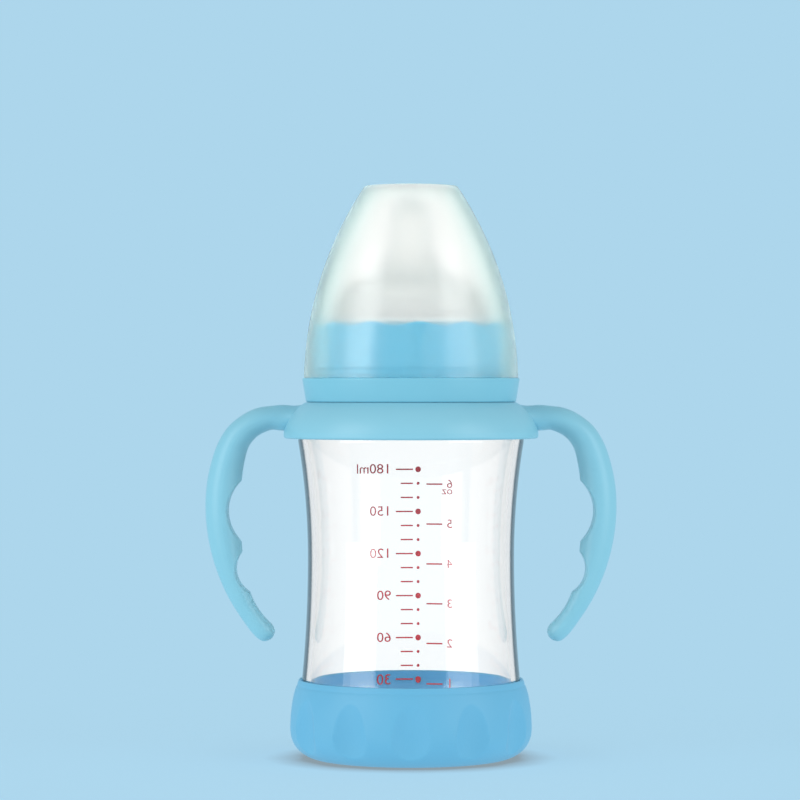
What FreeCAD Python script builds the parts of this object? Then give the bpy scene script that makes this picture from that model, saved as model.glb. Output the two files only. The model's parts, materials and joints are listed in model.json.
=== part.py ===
"""Wide-neck glass feeding bottle with two handles, a silicone base cover and a domed cap.

Millimetres. The bottle stands on z = 0 with its axis on Z, the handles lie along X and the
front faces -Y. Every height is built up from the floor, and every radius from the glass.
"""
import FreeCAD, Part
import math
import os

AXIS = FreeCAD.Vector(0, 0, 1)
ORIGIN = FreeCAD.Vector(0, 0, 0)
SAME_POINT = 1e-6

# Glass bottle
GLASS_WALL = 2.4
GLASS_FLOOR = 2.8
WAIST_RADIUS = 29.4
WAIST_RISE = 54.4
LOWER_FLARE = 360.0
UPPER_FLARE = 200.0
HEEL_RADIUS = 18.0
INNER_HEEL_RADIUS = 14.5
FOOT_RECESS_RADIUS = 13.0
FOOT_RECESS_DEPTH = 0.8
SHOULDER_RISE = 88.0
SHOULDER_RADIUS = 5.2
NECK_RADIUS = 24.2
NECK_HEIGHT = 24.1
NECK_STEP_HEIGHT = 4.4
NECK_FILLET = 0.8
NECK_INNER_FILLET = 2.0
RIM_ROUND = 0.9
THREAD_DEPTH = 1.0

# Base cover
COVER_FLOOR = 2.6
COVER_SWELL = 3.3
COVER_HEIGHT = 22.5
COVER_CORNER = 8.8
COVER_BARREL = 35.0
COVER_PLAY = 0.2
COVER_RIM_ROUND = 0.35
COVER_GROOVE_DROP = 1.6
COVER_GROOVE_RADIUS = 0.8
COVER_GROOVE_DEPTH = 0.1
FLUTE_COUNT = 12
FLUTE_RADIUS = 21.5
FLUTE_DEPTH = 1.1
FLUTE_EDGE = 1.5
UNDERSIDE_RADIUS = 17.0
UNDERSIDE_DEPTH = 0.6

# Handle ring
RING_SEAT = 0.2
RING_PLAY = 0.25
RING_THREAD_PLAY = 0.4
RING_HEIGHT = 10.3
RING_WALL = 2.3
RING_PLATE = 2.2
RING_TOP_WIDTH = 4.3
RING_SKIRT_PLAY = 0.6
RING_LIP = 3.5
RING_LIP_HEIGHT = 1.8
RING_LIP_ROUND = 0.8
RING_BULGE = 1.2
RING_EDGE = 0.5
SLEEVE_WALL = 2.0
SLEEVE_HEIGHT = 5.3

# Handles
HANDLE_STANDOFF = 22.3
HANDLE_TOP_DROP = 0.9
HANDLE_WIDEST_DROP = 28.4
HANDLE_CROWN = 18.0
HANDLE_BACK = 46.0
HANDLE_TAIL = 56.0
HANDLE_TAIL_ANGLE = 42.5
HANDLE_ROOT_THICK = 7.0
HANDLE_WIDEST_THICK = 10.1
HANDLE_TIP_THICK = 5.8
HANDLE_ROOT_DEPTH = 10.0
HANDLE_WIDEST_DEPTH = 11.0
HANDLE_TIP_DEPTH = 8.5
HANDLE_FLARE_RISE = 0.3
HANDLE_FLARE_THICK = 1.6
HANDLE_FLARE_DEPTH = 8.0
FLARE_STATIONS = 3
GRIP_ONE_DROP = 30.9
GRIP_ONE_RADIUS = 11.5
GRIP_ONE_WEB = 6.4
GRIP_TWO_DROP = 51.7
GRIP_TWO_RADIUS = 7.5
GRIP_TWO_WEB = 4.8
GRIP_THREE_DROP = 62.4
GRIP_THREE_RADIUS = 20.0
GRIP_THREE_WEB = 5.4
GRIP_EDGE = 0.8
CROWN_STATIONS = 5
BACK_STATIONS = 4
TAIL_STATIONS = 7
TIP_STATIONS = (30, 55, 72, 84)

# Teat
SEAL_GAP = 0.05
FLANGE_THICK = 2.0
FLANGE_PLAY = 0.4
TEAT_WALL = 1.8
BEAD_OVERHANG = 1.0
BEAD_ROUND = 0.6
BEAD_HEIGHT = 1.3
GROOVE_PLAY = 0.3
MOUND_RADIUS = 13.0
TEAT_FLARE = 11.0
NIPPLE_RADIUS = 5.9
NIPPLE_ROOT_RISE = 23.1
NIPPLE_LENGTH = 11.5
MILK_HOLE = 0.5

# Screw collar
COLLAR_SEAT = 0.1
COLLAR_PLATE = 2.0
COLLAR_WALL = 1.9
COLLAR_DRAFT = 1.1
COLLAR_LAND = 4.2
COLLAR_TOP_ROUND = 2.0
COLLAR_MOUTH_ROUND = 0.6
THREAD_PLAY = 0.3
BAND_HEIGHT = 6.8
BAND_TAPER = 1.1
BAND_FOOT_ROUND = 1.2
BAND_TOP_ROUND = 0.4
LEDGE_FILLET = 0.3
SCALLOP_COUNT = 12
SCALLOP_RADIUS = 60.0
SCALLOP_DEPTH = 0.7
SCALLOP_PHASE = -10.0

# Domed cap
CAP_SEAT = 0.1
CAP_PLAY = 0.9
CAP_WALL = 1.15
CAP_TOP_WALL = 1.3
CAP_TIP_ROOM = 3.0
CAP_OGIVE = 102.0
CAP_TANGENT_DROP = 2.3
CAP_TOP_ROUND = 1.2
CAP_RIM_PROUD = 0.45
CAP_BEAD_RISE = 1.7
CAP_BEAD_HEIGHT = 2.0
CAP_BEAD_PLAY = 0.15

# Heights, from the floor up
foot_z = COVER_FLOOR
waist_z = foot_z + WAIST_RISE
shoulder_z = foot_z + SHOULDER_RISE
crown_z = shoulder_z + SHOULDER_RADIUS
neck_step_z = crown_z + NECK_STEP_HEIGHT
rim_z = crown_z + NECK_HEIGHT
sleeve_z = crown_z + RING_SEAT
ring_top_z = sleeve_z + SLEEVE_HEIGHT
ring_foot_z = ring_top_z - RING_HEIGHT
plate_under_z = ring_top_z - RING_PLATE
collar_foot_z = ring_top_z + COLLAR_SEAT
ledge_z = collar_foot_z + BAND_HEIGHT
flange_z = rim_z + SEAL_GAP
collar_plate_z = flange_z + FLANGE_THICK + SEAL_GAP
collar_top_z = collar_plate_z + COLLAR_PLATE
bead_z = collar_top_z + SEAL_GAP
nipple_root_z = collar_top_z + NIPPLE_ROOT_RISE
tip_z = nipple_root_z + NIPPLE_LENGTH
cap_foot_z = ledge_z + CAP_SEAT
cap_top_z = tip_z + CAP_TIP_ROOM + CAP_TOP_WALL
handle_top_z = ring_top_z - HANDLE_TOP_DROP
handle_widest_z = handle_top_z - HANDLE_WIDEST_DROP

# Radii, from the glass out
neck_bore = NECK_RADIUS - GLASS_WALL
thread_radius = NECK_RADIUS + THREAD_DEPTH
sleeve_bore = thread_radius + RING_THREAD_PLAY
neck_step_radius = sleeve_bore - RING_PLAY
collar_bore = thread_radius + THREAD_PLAY
collar_top_radius = collar_bore + COLLAR_WALL
collar_ledge_radius = collar_top_radius + COLLAR_DRAFT
collar_mouth = collar_bore - COLLAR_LAND
groove_radius = collar_mouth - GROOVE_PLAY
flange_radius = collar_bore - FLANGE_PLAY
cap_rim_radius = collar_ledge_radius + CAP_PLAY + CAP_WALL
band_radius = cap_rim_radius + CAP_RIM_PROUD


def point(radius, height):
    """Return the point of the XZ plane at a radius from the axis and a height."""
    return FreeCAD.Vector(radius, 0, height)


def toward(start, end, length):
    """Return the point that lies a length from start on the way to end."""
    return start + (end - start).normalize() * length


def beside(centre_radius, reach, rise, side=1):
    """Return the radius at a rise above or below a centre, on the circle of a given reach."""
    return centre_radius + side * math.sqrt(reach * reach - rise * rise)


class Outline:
    """A closed outline in the XZ plane, drawn as straight runs and arcs."""

    def __init__(self, start):
        self.start = start
        self.here = start
        self.edges = []

    def line(self, end):
        """Draw a straight run to a point, or nothing if the outline is there already."""
        if (end - self.here).Length > SAME_POINT:
            self.edges.append(Part.LineSegment(self.here, end).toShape())
        self.here = end
        return self

    def arc(self, centre, end):
        """Draw the shorter arc about a centre to a point."""
        middle = toward(centre, (self.here + end) * 0.5, (end - centre).Length)
        self.edges.append(Part.Arc(self.here, middle, end).toShape())
        self.here = end
        return self

    def swell(self, end, height):
        """Draw an arc to a point that swells to the left of the way by a height."""
        way = end - self.here
        left = FreeCAD.Vector(-way.z, 0, way.x).normalize()
        middle = (self.here + end) * 0.5 + left * height
        self.edges.append(Part.Arc(self.here, middle, end).toShape())
        self.here = end
        return self

    def corner(self, tip, following, radius):
        """Draw a run to a corner and round it toward the point that follows."""
        back = (self.here - tip).normalize()
        ahead = (following - tip).normalize()
        half = back.getAngle(ahead) / 2
        reach = radius / math.tan(half)
        centre = tip + (back + ahead).normalize() * (radius / math.sin(half))
        return self.line(tip + back * reach).arc(centre, tip + ahead * reach)

    def face(self):
        """Close the outline and fill it."""
        self.line(self.start)
        return Part.Face(Part.Wire(self.edges))

    def turned(self):
        """Close the outline and turn it round the axis."""
        return self.face().revolve(ORIGIN, AXIS, 360)


def around(shape, count, phase=0.0):
    """Return copies of a shape spaced evenly round the axis."""
    copies = []
    for index in range(count):
        copy = shape.copy()
        copy.rotate(ORIGIN, AXIS, phase + index * 360.0 / count)
        copies.append(copy)
    return copies


def edges_of_cut(shape, radius):
    """Return the edges of the round faces that cutters of a radius have left on a shape."""
    found = []
    for edge in shape.Edges:
        for face in shape.ancestorsOfType(edge, Part.Face):
            if isinstance(face.Surface, Part.Cylinder) and math.isclose(face.Surface.Radius, radius):
                found.append(edge)
                break
    return found


def upright_flute(surface_radius, radius, depth, low, high):
    """Return an upright cutter that sinks to a depth into a surface at the front."""
    centre = FreeCAD.Vector(0, -(surface_radius + radius - depth), low)
    return Part.makeCylinder(radius, high - low, centre, AXIS)


class GlassBody:
    """The circles that the bottle's wall runs along, offset outward by a distance.

    A negative offset gives the inside. The flares curve inward and the heel and shoulder
    curve outward, so their radii change in opposite ways.
    """

    def __init__(self, offset, heel_radius, floor_z):
        self.lower = point(WAIST_RADIUS + LOWER_FLARE, waist_z)
        self.lower_reach = LOWER_FLARE - offset
        self.upper = point(WAIST_RADIUS + UPPER_FLARE, waist_z)
        self.upper_reach = UPPER_FLARE - offset
        self.heel_radius = heel_radius
        heel_z = floor_z + heel_radius
        span = self.lower_reach + heel_radius
        self.heel = point(beside(self.lower.x, span, waist_z - heel_z, -1), heel_z)
        self.foot = point(self.heel.x, floor_z)
        self.heel_end = toward(self.heel, self.lower, heel_radius)
        self.waist = point(WAIST_RADIUS + offset, waist_z)
        span = UPPER_FLARE + SHOULDER_RADIUS
        self.shoulder = point(beside(self.upper.x, span, shoulder_z - waist_z, -1), shoulder_z)
        self.shoulder_radius = SHOULDER_RADIUS + offset
        self.shoulder_start = toward(self.shoulder, self.upper, self.shoulder_radius)
        self.crown = point(self.shoulder.x, shoulder_z + self.shoulder_radius)

    def up_from_foot(self, outline):
        """Draw the wall from the heel to the start of the shoulder."""
        outline.arc(self.heel, self.heel_end).arc(self.lower, self.waist)
        return outline.arc(self.upper, self.shoulder_start)

    def widest(self):
        """Return the largest radius of the shoulder."""
        return self.shoulder.x + self.shoulder_radius

    def radius_low(self, height):
        """Return the radius of the wall at a height on the heel or the lower flare."""
        if height < self.heel_end.z:
            return beside(self.heel.x, self.heel_radius, height - self.heel.z)
        return beside(self.lower.x, self.lower_reach, waist_z - height, -1)


outer_glass = GlassBody(0.0, HEEL_RADIUS, foot_z)
inner_glass = GlassBody(-GLASS_WALL, INNER_HEEL_RADIUS, foot_z + GLASS_FLOOR)
skirt_radius = outer_glass.widest() + RING_SKIRT_PLAY
lip_radius = skirt_radius + RING_LIP


def glass_bottle():
    """The waisted bottle: recessed foot, heel, two flares, shoulder, stepped neck and rim."""
    dome_reach = (FOOT_RECESS_RADIUS ** 2 + FOOT_RECESS_DEPTH ** 2) / (2 * FOOT_RECESS_DEPTH)
    dome_centre = point(0, foot_z + FOOT_RECESS_DEPTH - dome_reach)
    outline = Outline(point(0, foot_z + FOOT_RECESS_DEPTH))
    outline.arc(dome_centre, point(FOOT_RECESS_RADIUS, foot_z)).line(outer_glass.foot)
    outer_glass.up_from_foot(outline)
    fillet_r = neck_step_radius + NECK_FILLET
    fillet_span = SHOULDER_RADIUS + NECK_FILLET
    fillet_rise = math.sqrt(fillet_span ** 2 - (fillet_r - outer_glass.shoulder.x) ** 2)
    fillet = point(fillet_r, shoulder_z + fillet_rise)
    outline.arc(outer_glass.shoulder, toward(outer_glass.shoulder, fillet, SHOULDER_RADIUS))
    outline.arc(fillet, point(neck_step_radius, fillet.z))
    step = neck_step_radius - NECK_RADIUS
    outline.line(point(neck_step_radius, neck_step_z - step)).line(point(NECK_RADIUS, neck_step_z))
    outline.corner(point(NECK_RADIUS, rim_z), point(neck_bore, rim_z), RIM_ROUND)
    outline.corner(point(neck_bore, rim_z), point(neck_bore, crown_z), RIM_ROUND)
    inner_crown = inner_glass.crown
    outline.corner(point(neck_bore, inner_crown.z), inner_crown, NECK_INNER_FILLET)
    outline.line(inner_crown).arc(inner_glass.shoulder, inner_glass.shoulder_start)
    outline.arc(inner_glass.upper, inner_glass.waist).arc(inner_glass.lower, inner_glass.heel_end)
    outline.arc(inner_glass.heel, inner_glass.foot).line(point(0, inner_glass.foot.z))
    return outline.turned()


def base_cover():
    """The silicone cup round the foot: a barrel with upright flutes and a grooved rim."""
    inside = GlassBody(COVER_PLAY, HEEL_RADIUS + COVER_PLAY, foot_z - COVER_PLAY)
    swell = inside.heel.x + inside.heel_radius + COVER_SWELL
    barrel = point(swell - COVER_BARREL, COVER_CORNER)
    outline = Outline(point(0, UNDERSIDE_DEPTH))
    outline.line(point(UNDERSIDE_RADIUS, UNDERSIDE_DEPTH)).line(point(UNDERSIDE_RADIUS, 0))
    outline.line(point(swell - COVER_CORNER, 0))
    outline.arc(point(swell - COVER_CORNER, COVER_CORNER), point(swell, COVER_CORNER))
    round_z = COVER_HEIGHT - COVER_RIM_ROUND
    rim_outer = beside(barrel.x, COVER_BARREL, round_z - COVER_CORNER)
    rim_inner = inside.radius_low(round_z)
    outline.arc(barrel, point(rim_outer, round_z))
    outer_top = point(rim_outer - COVER_RIM_ROUND, COVER_HEIGHT)
    inner_top = point(rim_inner + COVER_RIM_ROUND, COVER_HEIGHT)
    outline.arc(point(outer_top.x, round_z), outer_top).line(inner_top)
    outline.arc(point(inner_top.x, round_z), point(rim_inner, round_z))
    if round_z > inside.heel_end.z:
        outline.arc(inside.lower, inside.heel_end)
    seat_rise = inside.heel.z - foot_z
    seat_radius = beside(inside.heel.x, inside.heel_radius, seat_rise)
    outline.arc(inside.heel, point(seat_radius, foot_z)).line(point(0, foot_z))
    cup = outline.turned()
    flute = upright_flute(swell, FLUTE_RADIUS, FLUTE_DEPTH, 0, COVER_HEIGHT)
    groove_z = COVER_HEIGHT - COVER_GROOVE_DROP
    groove_r = beside(barrel.x, COVER_BARREL, groove_z - COVER_CORNER)
    groove_r += COVER_GROOVE_RADIUS - COVER_GROOVE_DEPTH
    groove = Part.makeTorus(groove_r, COVER_GROOVE_RADIUS, point(0, groove_z), AXIS)
    fluted = cup.cut(around(flute, FLUTE_COUNT))
    return fluted.makeFillet(FLUTE_EDGE, edges_of_cut(fluted, FLUTE_RADIUS)).cut(groove)


def under_bell(outline):
    """Draw the hollow side of the bell, from the lip up to the plate."""
    outline.line(point(skirt_radius, ring_foot_z))
    return outline.swell(point(sleeve_bore + RING_TOP_WIDTH - RING_WALL, plate_under_z), -RING_BULGE)


def bell():
    """The ring alone: bell-shaped skirt, top plate and the sleeve that sits on the shoulder."""
    outline = Outline(point(sleeve_bore, ring_top_z))
    outline.line(point(sleeve_bore + RING_TOP_WIDTH, ring_top_z))
    outline.swell(point(lip_radius, ring_foot_z + RING_LIP_HEIGHT), RING_BULGE)
    outline.corner(point(lip_radius, ring_foot_z), point(skirt_radius, ring_foot_z), RING_LIP_ROUND)
    under_bell(outline).line(point(sleeve_bore + SLEEVE_WALL, plate_under_z))
    outline.line(point(sleeve_bore + SLEEVE_WALL, sleeve_z))
    outline.line(point(sleeve_bore + RING_EDGE, sleeve_z)).line(point(sleeve_bore, sleeve_z + RING_EDGE))
    return outline.turned()


class HandleSpine:
    """The outer edge of one handle: a level root, then crown, back and tail arcs."""

    def __init__(self):
        self.reach = lip_radius + HANDLE_STANDOFF
        self.back = point(self.reach - HANDLE_BACK, handle_widest_z)
        centre_z = handle_top_z - HANDLE_CROWN
        rise = centre_z - handle_widest_z
        self.crown = point(beside(self.back.x, HANDLE_BACK - HANDLE_CROWN, rise), centre_z)
        self.tail = point(self.reach - HANDLE_TAIL, handle_widest_z)
        self.crown_turn = math.degrees(math.atan2(self.crown.x - self.back.x, rise))
        self.back_turn = 90.0 - self.crown_turn

    def stations(self):
        """Return the loft's stations: edge point, turn from level, and share of the way.

        The share runs from 0 at the root to 1 at the widest point and 2 at the tail's end.
        """
        crown_length = math.radians(self.crown_turn) * HANDLE_CROWN
        back_length = math.radians(self.back_turn) * HANDLE_BACK
        whole = crown_length + back_length
        listed = []
        for step in range(CROWN_STATIONS):
            part = step / CROWN_STATIONS
            turn = self.crown_turn * part
            listed.append((self.on(self.crown, HANDLE_CROWN, turn), turn, crown_length * part / whole))
        for step in range(BACK_STATIONS):
            part = step / BACK_STATIONS
            turn = self.crown_turn + self.back_turn * part
            share = (crown_length + back_length * part) / whole
            listed.append((self.on(self.back, HANDLE_BACK, turn), turn, share))
        for step in range(TAIL_STATIONS + 1):
            part = step / TAIL_STATIONS
            turn = 90.0 + HANDLE_TAIL_ANGLE * part
            listed.append((self.on(self.tail, HANDLE_TAIL, turn), turn, 1 + part))
        return listed

    def on(self, centre, radius, turn):
        """Return the point of an arc whose outward direction has turned from upright."""
        return centre + outward(turn) * radius

    def grip(self, drop, radius, web):
        """Return a cutter across the handle that leaves a web behind the edge at a drop."""
        rise = handle_top_z - drop - handle_widest_z
        centre, reach = (self.back, HANDLE_BACK) if rise > 0 else (self.tail, HANDLE_TAIL)
        edge = point(beside(centre.x, reach, rise), handle_widest_z + rise)
        axis = toward(centre, edge, reach - web - radius) - FreeCAD.Vector(0, HANDLE_WIDEST_DEPTH, 0)
        return Part.makeCylinder(radius, 2 * HANDLE_WIDEST_DEPTH, axis, FreeCAD.Vector(0, 1, 0))


def outward(turn):
    """Return the direction away from the axis side of a bar that has turned from level."""
    return FreeCAD.Vector(math.sin(math.radians(turn)), 0, math.cos(math.radians(turn)))


def onward(turn):
    """Return the direction along a bar that has turned from level."""
    return FreeCAD.Vector(math.cos(math.radians(turn)), 0, -math.sin(math.radians(turn)))


def eased(root, widest, tip, share):
    """Blend a size smoothly from the root to the widest point and on to the tip."""
    low, high, part = (root, widest, share) if share <= 1 else (widest, tip, share - 1)
    return low + (high - low) * part * part * (3 - 2 * part)


def oval(centre, turn, thick, depth):
    """Return an oval section across a bar that has turned from level."""
    across = outward(turn) * (thick / 2)
    along = onward(turn)
    stretch = FreeCAD.Matrix(
        0, across.x, along.x, centre.x,
        depth / 2, 0, 0, centre.y,
        0, across.z, along.z, centre.z,
        0, 0, 0, 1,
    )
    return Part.Wire([Part.makeCircle(1).transformGeometry(stretch).Edges[0]])


def handle():
    """One handle on the +X side: a tapering oval bar that flares into the ring at its root.

    It has three finger grips on its inner side.
    """
    spine = HandleSpine()
    stations = spine.stations()
    bar_start = stations[0][0].x
    root_length = bar_start - sleeve_bore - SLEEVE_WALL
    sections = []
    for step in range(FLARE_STATIONS, 0, -1):
        back = step / FLARE_STATIONS
        grown = back * back
        thick = HANDLE_ROOT_THICK + HANDLE_FLARE_THICK * grown
        depth = HANDLE_ROOT_DEPTH + HANDLE_FLARE_DEPTH * grown
        top_z = handle_top_z + HANDLE_FLARE_RISE * grown
        sections.append(oval(point(bar_start - root_length * back, top_z - thick / 2), 0, thick, depth))
    for edge, turn, share in stations:
        thick = eased(HANDLE_ROOT_THICK, HANDLE_WIDEST_THICK, HANDLE_TIP_THICK, share)
        depth = eased(HANDLE_ROOT_DEPTH, HANDLE_WIDEST_DEPTH, HANDLE_TIP_DEPTH, share)
        centre = edge - outward(turn) * (thick / 2)
        sections.append(oval(centre, turn, thick, depth))
    for degrees in TIP_STATIONS:
        shrink = math.cos(math.radians(degrees))
        ahead = centre + onward(turn) * (math.sin(math.radians(degrees)) * thick / 2)
        sections.append(oval(ahead, turn, thick * shrink, depth * shrink))
    bar = Part.makeLoft(sections, True, False)
    grips = (
        (GRIP_ONE_DROP, GRIP_ONE_RADIUS, GRIP_ONE_WEB),
        (GRIP_TWO_DROP, GRIP_TWO_RADIUS, GRIP_TWO_WEB),
        (GRIP_THREE_DROP, GRIP_THREE_RADIUS, GRIP_THREE_WEB),
    )
    bar = bar.cut([spine.grip(*grip) for grip in grips])
    edges = {edge.hashCode(): edge for _, radius, _ in grips for edge in edges_of_cut(bar, radius)}
    return bar.makeFillet(GRIP_EDGE, list(edges.values()))


def handle_ring():
    """The ring and its two handles as one moulding, hollow under the bell."""
    below_z = ring_foot_z - HANDLE_ROOT_THICK
    hollow = Outline(point(0, below_z)).line(point(skirt_radius, below_z))
    under_bell(hollow).line(point(0, plate_under_z))
    bore = Part.makeCylinder(sleeve_bore + SLEEVE_WALL, RING_HEIGHT, point(0, ring_foot_z), AXIS)
    right = handle().cut(hollow.turned().fuse(bore))
    return bell().fuse(around(right, 2)).removeSplitter()


def teat():
    """The hollow teat: flange, groove for the collar's mouth, bead, mound, flare and nipple."""
    flare = point(NIPPLE_RADIUS + TEAT_FLARE, nipple_root_z)
    foot = point(collar_mouth + BEAD_OVERHANG, bead_z + BEAD_HEIGHT)
    gap = (flare - foot).Length
    along = (gap ** 2 + MOUND_RADIUS ** 2 - (MOUND_RADIUS + TEAT_FLARE) ** 2) / (2 * gap)
    across = math.sqrt(MOUND_RADIUS ** 2 - along ** 2)
    way = (flare - foot).normalize()
    mound = foot + way * along + FreeCAD.Vector(-way.z, 0, way.x) * across
    turn = toward(mound, flare, MOUND_RADIUS)
    ball = point(0, tip_z - NIPPLE_RADIUS)
    throat = groove_radius - TEAT_WALL
    outline = Outline(point(throat, flange_z))
    outline.line(point(flange_radius, flange_z)).line(point(flange_radius, flange_z + FLANGE_THICK))
    outline.line(point(groove_radius, flange_z + FLANGE_THICK)).line(point(groove_radius, bead_z))
    outline.corner(point(foot.x, bead_z), foot, BEAD_ROUND)
    outline.line(foot).arc(mound, turn).arc(flare, point(NIPPLE_RADIUS, nipple_root_z))
    outline.line(point(NIPPLE_RADIUS, ball.z)).arc(ball, point(0, tip_z))
    inner = NIPPLE_RADIUS - TEAT_WALL
    outline.line(point(0, ball.z + inner)).arc(ball, point(inner, ball.z)).line(point(inner, nipple_root_z))
    hollow = MOUND_RADIUS - TEAT_WALL
    outline.arc(flare, toward(mound, flare, hollow))
    outline.arc(mound, point(throat, mound.z + math.sqrt(hollow ** 2 - (throat - mound.x) ** 2)))
    hole = Part.makeCylinder(MILK_HOLE, NIPPLE_RADIUS, ball, AXIS)
    return outline.turned().cut(hole)


def screw_collar():
    """The collar: tapered band, ledge for the cap, scalloped drum and a plate with the mouth."""
    foot_radius = band_radius - BAND_TAPER
    outline = Outline(point(collar_bore, collar_foot_z))
    ledge_edge = point(band_radius, ledge_z)
    outline.corner(point(foot_radius, collar_foot_z), ledge_edge, BAND_FOOT_ROUND)
    ledge_root = point(collar_ledge_radius, ledge_z)
    outline.corner(ledge_edge, ledge_root, BAND_TOP_ROUND)
    shoulder = point(collar_top_radius, collar_top_z)
    outline.corner(ledge_root, shoulder, LEDGE_FILLET)
    mouth = point(collar_mouth, collar_top_z)
    outline.corner(shoulder, mouth, COLLAR_TOP_ROUND)
    outline.corner(mouth, point(collar_mouth, collar_plate_z), COLLAR_MOUTH_ROUND)
    outline.line(point(collar_mouth, collar_plate_z)).line(point(collar_bore, collar_plate_z))
    drum = outline.turned()
    scallop = upright_flute(collar_top_radius, SCALLOP_RADIUS, SCALLOP_DEPTH, ledge_z, collar_top_z)
    return drum.cut(around(scallop, SCALLOP_COUNT, SCALLOP_PHASE))


class CapCurve:
    """One face of the cap: an ogive about a shared centre, rounded into a flat top."""

    def __init__(self, reach, top_z):
        self.centre = point(cap_rim_radius - CAP_OGIVE, cap_foot_z - CAP_TANGENT_DROP)
        self.reach = reach
        self.foot = self.at(cap_foot_z)
        round_z = top_z - CAP_TOP_ROUND
        rise = round_z - self.centre.z
        self.round = point(beside(self.centre.x, reach - CAP_TOP_ROUND, rise), round_z)
        self.shoulder = toward(self.centre, self.round, reach)
        self.top_edge = point(self.round.x, top_z)
        self.top = point(0, top_z)

    def at(self, height):
        """Return the point of the ogive at a height."""
        return point(beside(self.centre.x, self.reach, height - self.centre.z), height)


def dome_cap():
    """The domed cap: an ogive shell with a flat top and a bead inside that grips the collar."""
    outside = CapCurve(CAP_OGIVE, cap_top_z)
    inside = CapCurve(CAP_OGIVE - CAP_WALL, cap_top_z - CAP_TOP_WALL)
    outline = Outline(inside.foot).line(outside.foot)
    outline.arc(outside.centre, outside.shoulder).arc(outside.round, outside.top_edge)
    outline.line(outside.top).line(inside.top).line(inside.top_edge)
    outline.arc(inside.round, inside.shoulder)
    grip_z = cap_foot_z + CAP_BEAD_RISE
    drum_slope = COLLAR_DRAFT / (collar_top_z - ledge_z)
    grip_radius = collar_ledge_radius - drum_slope * (grip_z - ledge_z) + CAP_BEAD_PLAY
    grip_top = inside.at(grip_z + CAP_BEAD_HEIGHT / 2)
    grip_foot = inside.at(grip_z - CAP_BEAD_HEIGHT / 2)
    outline.arc(inside.centre, grip_top)
    outline.swell(grip_foot, grip_radius - inside.at(grip_z).x)
    outline.arc(inside.centre, inside.foot)
    return outline.turned()


def main():
    """Build every piece and write it as a STEP file."""
    os.makedirs("parts", exist_ok=True)
    for build in (glass_bottle, base_cover, handle_ring, teat, screw_collar, dome_cap):
        shape = build()
        shape.exportStep(f"parts/{build.__name__}.step")
        print(f"{build.__name__}: {len(shape.Solids)} solid, {shape.Volume / 1000:.2f} cm3")


main()
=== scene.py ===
"""Looks of a wide-neck glass feeding bottle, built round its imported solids.

Sizes are in millimetres and turn to metres where a mesh is made. The bottle stands on z = 0
with its axis on Z, the handles lie along X and the front faces -Y.
"""
import json
import logging
import math
from collections.abc import Callable
from dataclasses import dataclass
from enum import Enum
from typing import Any

import bmesh
import bpy
from mathutils import Matrix, Vector

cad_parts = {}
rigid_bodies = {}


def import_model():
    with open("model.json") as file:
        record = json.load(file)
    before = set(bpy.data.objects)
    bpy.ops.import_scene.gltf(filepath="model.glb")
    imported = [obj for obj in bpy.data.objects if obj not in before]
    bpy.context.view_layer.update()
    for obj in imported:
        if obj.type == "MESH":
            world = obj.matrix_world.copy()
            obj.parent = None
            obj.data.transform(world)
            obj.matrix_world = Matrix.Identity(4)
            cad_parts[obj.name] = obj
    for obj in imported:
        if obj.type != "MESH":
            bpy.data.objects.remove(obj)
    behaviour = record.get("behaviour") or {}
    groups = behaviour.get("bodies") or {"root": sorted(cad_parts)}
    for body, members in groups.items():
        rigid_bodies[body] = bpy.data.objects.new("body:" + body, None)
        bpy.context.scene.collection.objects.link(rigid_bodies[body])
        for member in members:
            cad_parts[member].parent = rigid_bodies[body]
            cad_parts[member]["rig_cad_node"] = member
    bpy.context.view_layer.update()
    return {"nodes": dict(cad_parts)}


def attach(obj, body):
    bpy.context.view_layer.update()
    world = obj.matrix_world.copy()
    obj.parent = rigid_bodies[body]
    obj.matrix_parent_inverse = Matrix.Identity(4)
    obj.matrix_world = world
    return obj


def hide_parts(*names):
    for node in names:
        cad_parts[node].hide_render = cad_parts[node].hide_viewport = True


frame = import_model()

Point = tuple[float, float]
Colour = tuple[float, float, float, float]
Reshape = Callable[[float, float, float], Point]

MM = 0.001
ON_AXIS = 1e-6
ARC_TURN = math.radians(7.5)
ARC_RUN = 2.5
SHARP = math.radians(35.0)
FRONT = -math.pi / 2
LEVEL = math.pi / 2
LOG = logging.getLogger("feeding_bottle")

# Settings of nodes, and the places of a Mix node's colour sockets, whose names it repeats.
SMOOTH = {"interpolation_type": "SMOOTHSTEP"}
COLOURS = {"data_type": "RGBA"}
SHARE, FIRST, SECOND, MIXED = 0, 6, 7, 2
EVEN_BLEND = 0.5


class Slot(Enum):
    """The record's material slots."""

    GLASS = "clear_glass"
    COVER = "cover_silicone"
    RING = "ring_plastic"
    TEAT = "teat_silicone"
    COLLAR = "collar_plastic"
    CAP = "cap_plastic"


class Side(Enum):
    """The two sides of the camera's axis."""

    LEFT = -1
    RIGHT = 1


def linear(hex_colour: str) -> Colour:
    """Turn an sRGB hex colour to linear light, along the curve that sRGB sets.

    Args:
        hex_colour: Six hex digits after a hash sign.

    Returns:
        Red, green, blue and an alpha of 1.
    """
    shares = [int(hex_colour[start:start + 2], 16) / 255 for start in (1, 3, 5)]
    red, green, blue = (s / 12.92 if s <= 0.04045 else ((s + 0.055) / 1.055) ** 2.4
                        for s in shares)
    return red, green, blue, 1.0


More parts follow.
